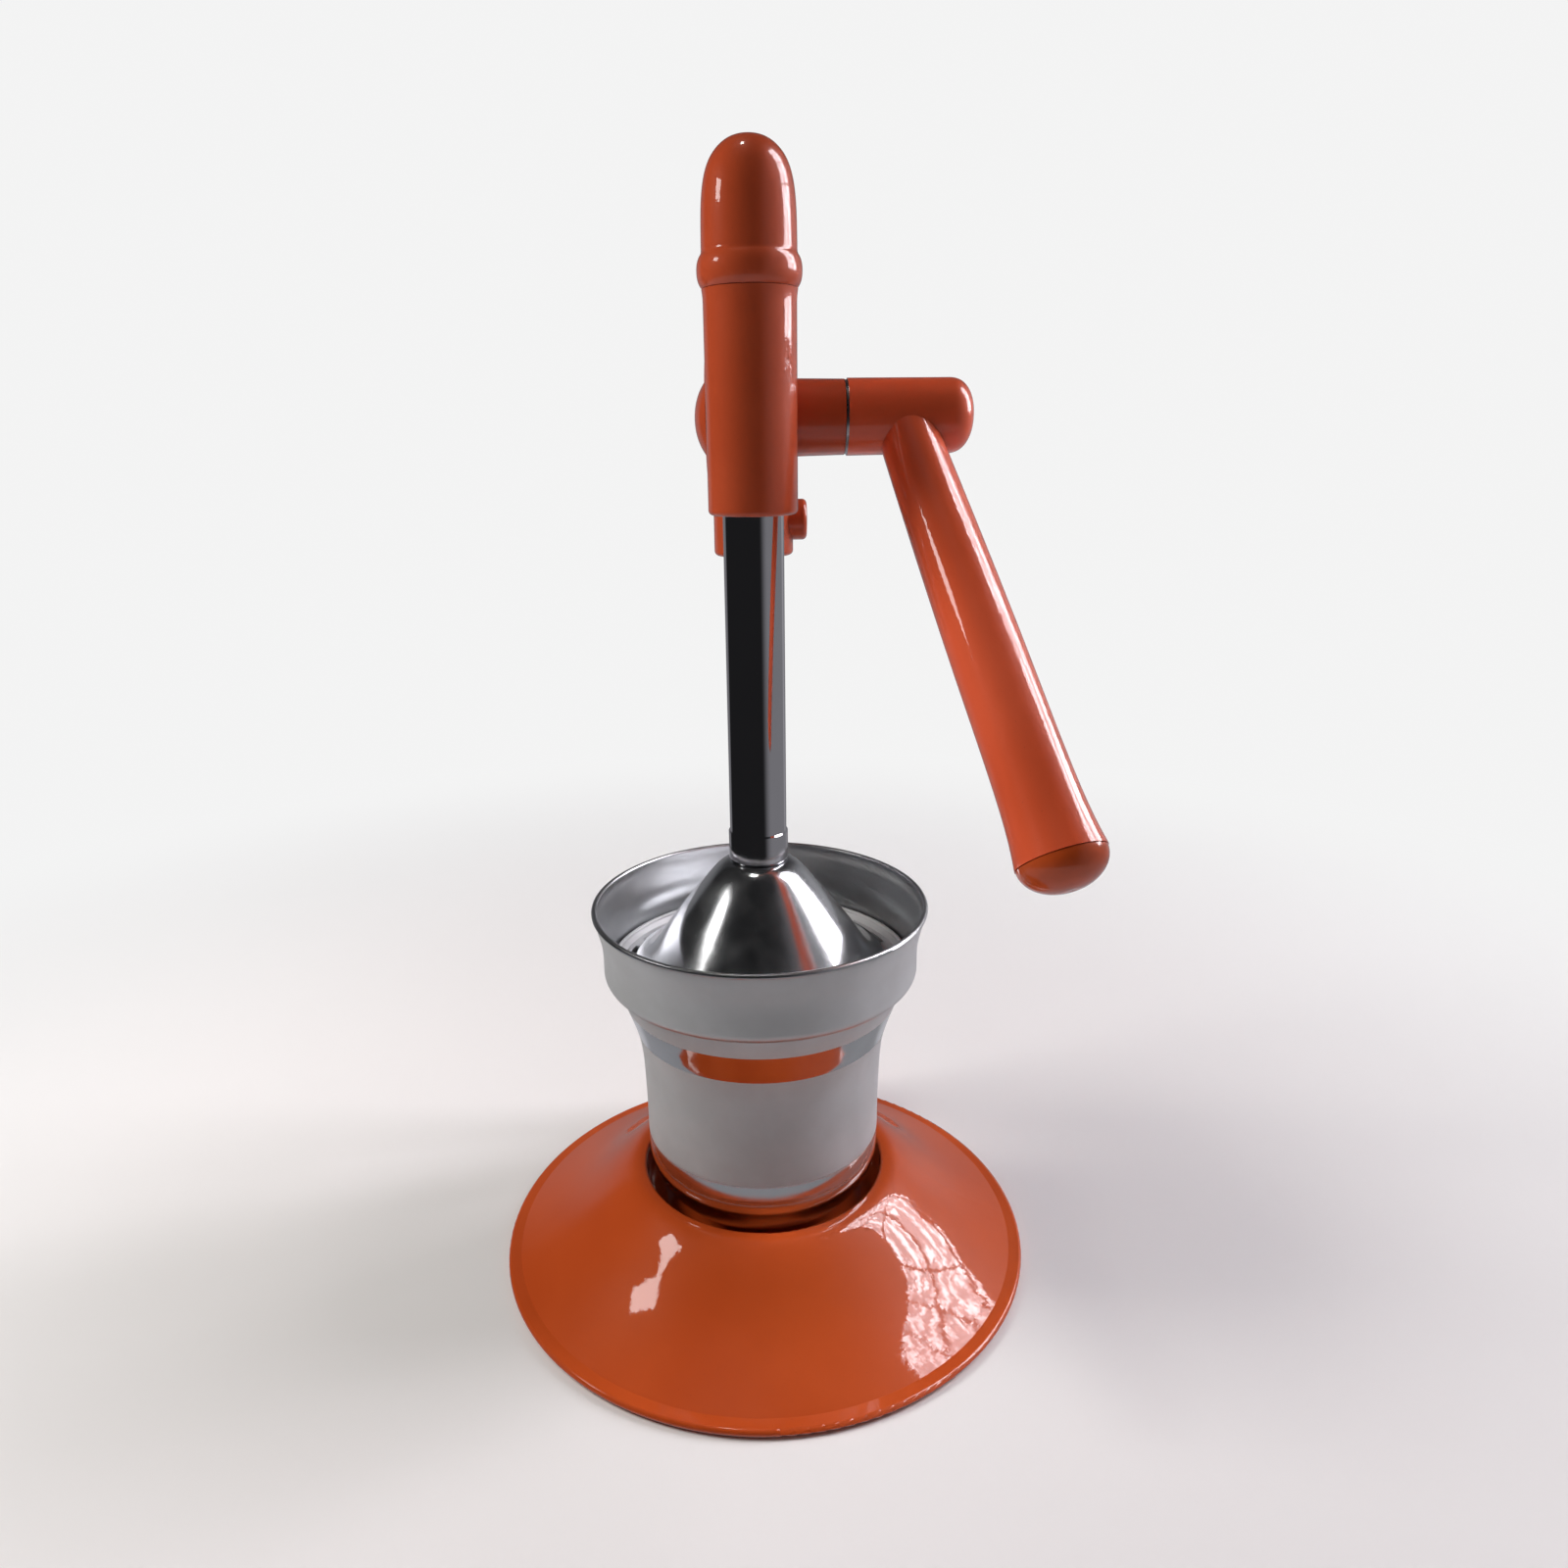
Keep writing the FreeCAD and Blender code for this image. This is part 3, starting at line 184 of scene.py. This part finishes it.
class Finish(Graph):
    """A new material, with its main shader and the coordinates of the piece it is on."""

    def __init__(self, name):
        self.material = bpy.data.materials.new(name)
        self.material.use_nodes = True
        super().__init__(self.material.node_tree)
        self.shader = self.tree.nodes["Principled BSDF"]
        self.place = self.add("ShaderNodeTexCoord").outputs["Object"]

    def set(self, name, value):
        self.feed(self.shader.inputs[name], value)

    def height(self):
        return self.split(self.place)["Z"]

    def turned(self):
        """Coordinates of a piece turned about the upright axis: way round, radius and height."""
        place = self.split(self.place)
        angle = self.math("ARCTAN2", place["X"], place["Y"])
        across = self.math("POWER", place["X"], 2.0)
        along = self.math("POWER", place["Y"], 2.0)
        radius = self.math("SQRT", self.math("ADD", across, along))
        joined = self.add("ShaderNodeCombineXYZ")
        for socket, value in zip(joined.inputs, (angle, radius, place["Z"])):
            self.feed(socket, value)
        return joined.outputs[0]


# ---- materials ----

def enamel(name, painted_light_gain, blue=1.0):
    """Glossy sprayed enamel: fine orange peel, slow colour drift and a few dust specks. The gain makes
    lighter or darker copies of it for single pieces, as painted light and painted shade.
    """
    g = Finish(name)
    drift = g.remap(g.noise(g.place, scale=14.0, detail=3.0), low=0.3, high=0.7)
    specks = g.remap(g.noise(g.place, scale=1900.0, detail=1.0), low=0.75, high=0.80)
    # The gain lightens or darkens this copy of the enamel: painted light above 1, painted shade below 1.
    painted_light_tint = Vector((painted_light_gain, painted_light_gain, painted_light_gain * blue))
    deep, light = (tuple(painted_light_tint * Vector(tone)) + (1,) for tone in (ENAMEL_DEEP, ENAMEL_LIGHT))
    g.set("Base Color", g.mix(g.math("MULTIPLY", specks, 0.35), g.mix(drift, deep, light), ENAMEL_SPECK))
    g.set("Roughness", g.remap(drift, low=0.0, high=1.0, to_low=0.34, to_high=0.42))
    g.set("Specular IOR Level", 0.15)
    g.set("Coat Weight", 1.0)
    g.set("Coat Roughness", 0.035)
    waves = g.bump(g.noise(g.place, scale=120.0), depth=0.00006)
    peel = g.bump(g.noise(g.place, scale=700.0), depth=0.000012, below=waves)
    g.set("Normal", peel)
    g.set("Coat Normal", peel)
    return g.material


def chrome():
    """Bright chrome plate over a drawn rod: lines along the rod and faint wiping marks."""
    g = Finish("chrome_plate_drawn")
    lines = g.noise(g.stretch(g.place, (1.0, 1.0, 0.012)), scale=2600.0)
    smudge = g.noise(g.place, scale=55.0, detail=4.0)
    g.set("Base Color", g.mix(smudge, CHROME, CHROME_WIPED))
    g.set("Metallic", 1.0)
    g.set("Roughness", g.remap(smudge, low=0.35, high=0.75, to_low=0.05, to_high=0.12))
    g.set("Normal", g.bump(lines, depth=0.000004))
    return g.material


def steel_sheet(name, satin, polished_roughness, satin_roughness=SATIN_ROUGHNESS):
    """Spun stainless sheet. satin is a function of the finish that gives the share of satin."""
    g = Finish(name)
    turned = g.turned()
    share = satin(g)
    rings = g.noise(g.stretch(turned, (0.6, 1.0, 1.0)), scale=3800.0, detail=3.0)
    cloud = g.noise(g.place, scale=40.0, detail=4.0)
    grain = g.math("MULTIPLY", g.math("SUBTRACT", rings, 0.5), g.math("MULTIPLY", share, 0.14))
    plain = g.remap(share, low=0.0, high=1.0, to_low=polished_roughness, to_high=satin_roughness)
    drift = g.remap(cloud, low=0.3, high=0.7, to_low=-0.02, to_high=0.03)
    g.set("Base Color", g.mix(g.remap(cloud, low=0.3, high=0.7), STEEL, STEEL_CLOUDED))
    g.set("Metallic", g.remap(share, low=0.0, high=1.0, to_low=1.0, to_high=0.35))
    g.set("Roughness", g.math("ADD", plain, g.math("ADD", grain, drift)))
    g.set("Anisotropic", 0.2)
    g.set("Tangent", g.add("ShaderNodeTangent", direction_type="RADIAL", axis="Z").outputs[0])
    g.set("Normal", g.bump(g.math("MULTIPLY", rings, share), depth=0.000006))
    return g.material


def cup_satin(g):
    """Satin side and mouth, with a polished foot and a polished ring between the two."""
    height = g.height()
    above_foot = g.remap(height, CUP_SATIN_BOTTOM - SOFT_EDGE, CUP_SATIN_BOTTOM + SOFT_EDGE)
    below_ring = g.remap(height, CUP_SATIN_TOP - SHARP_EDGE, CUP_SATIN_TOP + SHARP_EDGE, 1.0, 0.0)
    mouth = g.remap(height, CUP_RING_TOP - SHARP_EDGE, CUP_RING_TOP + SHARP_EDGE)
    return g.math("ADD", g.math("MULTIPLY", above_foot, below_ring), mouth)


def strainer_satin(g):
    """Satin on the outside, nearly polished inside and polished on the rolled lip."""
    radius = g.split(g.turned())["Y"]
    above_bend = g.math("MAXIMUM", g.math("SUBTRACT", g.height(), STRAINER_FLARE_HEIGHT), 0.0)
    upright = g.math("SUBTRACT", radius, g.math("MULTIPLY", above_bend, STRAINER_FLARE_SLOPE))
    inner = STRAINER_WALL_RADIUS - STRAINER_WALL_FADE
    outer = STRAINER_WALL_RADIUS + STRAINER_WALL_FADE
    outside = g.remap(upright, inner, outer, to_low=0.15, to_high=1.0)
    lip = STRAINER_LIP_HEIGHT
    below_lip = g.remap(g.height(), lip, lip + STRAINER_LIP_FADE, to_low=1.0, to_high=0.0)
    return g.math("MULTIPLY", outside, below_lip)


def filter_satin(g):
    """Satin all over, a little brighter towards the top of the dome."""
    return g.remap(g.height(), FILTER_FADE_FROM, FILTER_FADE_TO, to_low=1.0, to_high=0.8)


def cone_satin(g):
    """Polish with faint dull patches."""
    return g.remap(g.noise(g.place, scale=90.0), low=0.0, high=1.0, to_low=0.0, to_high=0.25)


def plain_metal(name, colour, roughness):
    """Turned or plated small metal piece with fine scratches and patchy sheen."""
    g = Finish(name)
    patch = g.noise(g.place, scale=260.0, detail=4.0)
    scratches = g.noise(g.stretch(g.place, (1.0, 1.0, 0.05)), scale=2400.0)
    darker = tuple(0.7 * part for part in colour[:3]) + (1,)
    g.set("Base Color", g.mix(g.remap(patch, low=0.3, high=0.7), colour, darker))
    g.set("Metallic", 1.0)
    g.set("Roughness", g.remap(patch, low=0.3, high=0.7, to_low=roughness - 0.06, to_high=roughness + 0.08))
    g.set("Normal", g.bump(scratches, depth=0.000008))
    return g.material


def rubber():
    """Dull black rubber with a fine moulded grain."""
    g = Finish("rubber_pad_moulded")
    grain = g.noise(g.place, scale=1500.0, detail=4.0)
    cloud = g.noise(g.place, scale=60.0, detail=3.0)
    g.set("Base Color", g.mix(cloud, RUBBER_DARK, RUBBER_LIGHT))
    g.set("Roughness", g.remap(grain, low=0.3, high=0.7, to_low=0.62, to_high=0.85))
    g.set("Normal", g.bump(grain, depth=0.00005))
    return g.material


finishes = {
    # The base enamel is the paint's own colour. The head and grip get darker copies of it as painted shade,
    # and the lever a lighter copy as painted light, each with its blue changed too.
    enamel("orange_enamel_base", painted_light_gain=1.0): ["base"],
    enamel("orange_enamel_head_painted_shade", painted_light_gain=0.85, blue=1.7): [
        "head_casting", "gear_cover", "top_cap", "column_set_screw"],
    enamel("orange_enamel_lever_painted_light", painted_light_gain=1.3, blue=2.0): ["lever"],
    enamel("orange_enamel_grip_painted_shade", painted_light_gain=0.9): ["lever_end_cap"],
    chrome(): ["column", "press_rod", "rod_ferrule"],
    steel_sheet("stainless_cup", cup_satin, polished_roughness=0.07): ["juice_cup"],
    steel_sheet("stainless_strainer", strainer_satin, polished_roughness=0.34, satin_roughness=0.44): [
        "strainer_bowl"],
    steel_sheet("stainless_filter", filter_satin, polished_roughness=0.12): ["strainer_filter"],
    steel_sheet("stainless_cone", cone_satin, polished_roughness=0.13): ["press_cone"],
    plain_metal("zinc_plate", ZINC, roughness=0.30): [
        "column_bolt", "column_washer", "column_plug", "cone_screw", "cone_washer", "cover_screws",
        "hub_set_screw", "hub_washer", "pinion_key", "pinion_shaft"],
    plain_metal("gear_steel_oiled", GEAR_STEEL, roughness=0.34): ["pinion"],
    plain_metal("bronze_sintered", BRONZE, roughness=0.36): [
        "left_shaft_bush", "right_shaft_bush", "lower_guide_bush", "upper_guide_bush"],
    rubber(): ["base_pad", "cup_pad"],
}
for finish, names in finishes.items():
    for name in names:
        nodes[name].data.materials.clear()
        nodes[name].data.materials.append(finish)


# ---- floor, light and camera ----

def place_staging(name, corners, material):
    """Adds one flat face to the scene, for the room around the press."""
    mesh = bpy.data.meshes.new(name)
    mesh.from_pydata(corners, [], [range(len(corners))])
    mesh.materials.append(material)
    made = bpy.data.objects.new(name, mesh)
    bpy.context.scene.collection.objects.link(made)
    return made


def pale_ground():
    """Pale matt floor that turns into plain paper away from the press, for the camera only."""
    g = Finish("pale_floor")
    cloud = g.noise(g.place, scale=3.0, detail=3.0)
    g.set("Base Color", g.mix(cloud, FLOOR_DARK, FLOOR_LIGHT))
    g.set("Roughness", g.remap(cloud, low=0.0, high=1.0, to_low=0.7, to_high=0.8))
    away = g.add("ShaderNodeVectorMath", operation="LENGTH")
    g.feed(away.inputs[0], g.place)
    shown = g.remap(away.outputs["Value"], PAPER_FROM, PAPER_FULL)
    paper = g.add("ShaderNodeEmission")
    paper.inputs["Color"].default_value = PAPER
    share = g.math("MULTIPLY", g.camera_ray(), shown)
    surface = g.mix_shaders(share, g.shader.outputs[0], paper.outputs[0])
    g.feed(g.tree.nodes["Material Output"].inputs["Surface"], surface)
    return g.material


def floor():
    """Wide pale floor. The shiny parts don't mirror it, so that they keep their dark tones."""
    turns = [2 * math.pi * index / FLOOR_SIDES for index in range(FLOOR_SIDES)]
    corners = [(FLOOR_RADIUS * math.cos(turn), FLOOR_RADIUS * math.sin(turn), 0) for turn in turns]
    made = place_staging("floor", corners, pale_ground())
    made.visible_glossy = False


def area_light(name, place, target, size, power, colour, mirrored):
    light = bpy.data.lights.new(name, "AREA")
    light.shape = "RECTANGLE"
    light.size, light.size_y = size
    light.energy = power
    light.color = colour
    made = bpy.data.objects.new(name, light)
    direction = Vector(target) - Vector(place)
    made.matrix_world = Matrix.Translation(place) @ direction.to_track_quat("-Z", "Y").to_matrix().to_4x4()
    made.visible_camera = False
    made.visible_glossy = mirrored
    bpy.context.scene.collection.objects.link(made)


def pane(g, value, width):
    """One inside each pane of that width, and zero on the bars between the panes."""
    from_bar = g.math("PINGPONG", value, width / 2)
    return g.remap(from_bar, BAR_HALF_WIDTH, BAR_HALF_WIDTH + BAR_BLUR)


def paned_window():
    """A tall window with bars between its panes, and bare branches outside it."""
    g = Finish("window_panes")
    place = g.split(g.place)
    bars = g.math("MULTIPLY", pane(g, place["Y"], PANE_WIDTH), pane(g, place["Z"], PANE_HEIGHT))
    twigs = g.noise(g.stretch(g.place, (1.0, 5.0, 1.6)), scale=4.0, detail=5.0)
    branches = g.remap(twigs, low=0.50, high=0.56, to_low=0.30, to_high=1.0)
    g.set("Base Color", BLACK)
    g.set("Emission Color", DAYLIGHT)
    g.set("Emission Strength", g.math("MULTIPLY", bars, g.math("MULTIPLY", branches, WINDOW_BRIGHTNESS)))
    corners = [(0, WINDOW_FRONT, WINDOW_BOTTOM), (0, WINDOW_BACK, WINDOW_BOTTOM),
               (0, WINDOW_BACK, WINDOW_TOP), (0, WINDOW_FRONT, WINDOW_TOP)]
    made = place_staging("window_right", corners, g.material)
    made.location = (WINDOW_X, 0, 0)
    made.visible_camera = False


def world():
    """Dim room: dark in front, lighter behind, below and to the right. Plain paper to the camera."""
    made = bpy.data.worlds.new("studio")
    made.use_nodes = True
    g = Graph(made.node_tree)
    direction = g.split(g.add("ShaderNodeTexCoord").outputs["Generated"])
    behind = g.remap(direction["Y"], low=0.60, high=0.72, to_low=0.0, to_high=0.20)
    near_horizon = g.remap(direction["Z"], low=0.0, high=0.5, to_low=1.0, to_high=0.15)
    right = g.remap(direction["X"], low=0.35, high=0.8, to_low=0.015, to_high=0.24)
    below = g.remap(direction["Z"], low=-0.50, high=-0.38, to_low=0.34, to_high=0.0)
    back_wall = g.math("MULTIPLY", behind, near_horizon)
    room = g.tree.nodes["Background"]
    room.inputs["Color"].default_value = ROOM
    g.feed(room.inputs["Strength"], g.math("ADD", back_wall, g.math("MAXIMUM", right, below)))
    shown = g.add("ShaderNodeBackground")
    shown.inputs["Color"].default_value = PAPER
    surface = g.mix_shaders(g.camera_ray(), room.outputs[0], shown.outputs[0])
    g.feed(g.tree.nodes["World Output"].inputs["Surface"], surface)
    bpy.context.scene.world = made


def camera():
    lens = bpy.data.cameras.new("camera")
    lens.sensor_width = SENSOR_MM
    lens.lens = LENS_MM
    lens.shift_x = LENS_SHIFT
    lens.clip_start = NEAREST_SEEN
    made = bpy.data.objects.new("camera", lens)
    yaw = Matrix.Rotation(math.radians(CAMERA_YAW), 4, "Z")
    pitch = Matrix.Rotation(math.radians(90 - CAMERA_TILT_DOWN), 4, "X")
    roll = Matrix.Rotation(math.radians(CAMERA_ROLL), 4, "Z")
    made.matrix_world = Matrix.Translation(CAMERA_PLACE) @ yaw @ pitch @ roll
    bpy.context.scene.collection.objects.link(made)
    bpy.context.scene.camera = made


floor()
for lamp in LAMPS:
    area_light(*lamp)
paned_window()
world()
camera()
bpy.context.scene.view_settings.view_transform = "Standard"
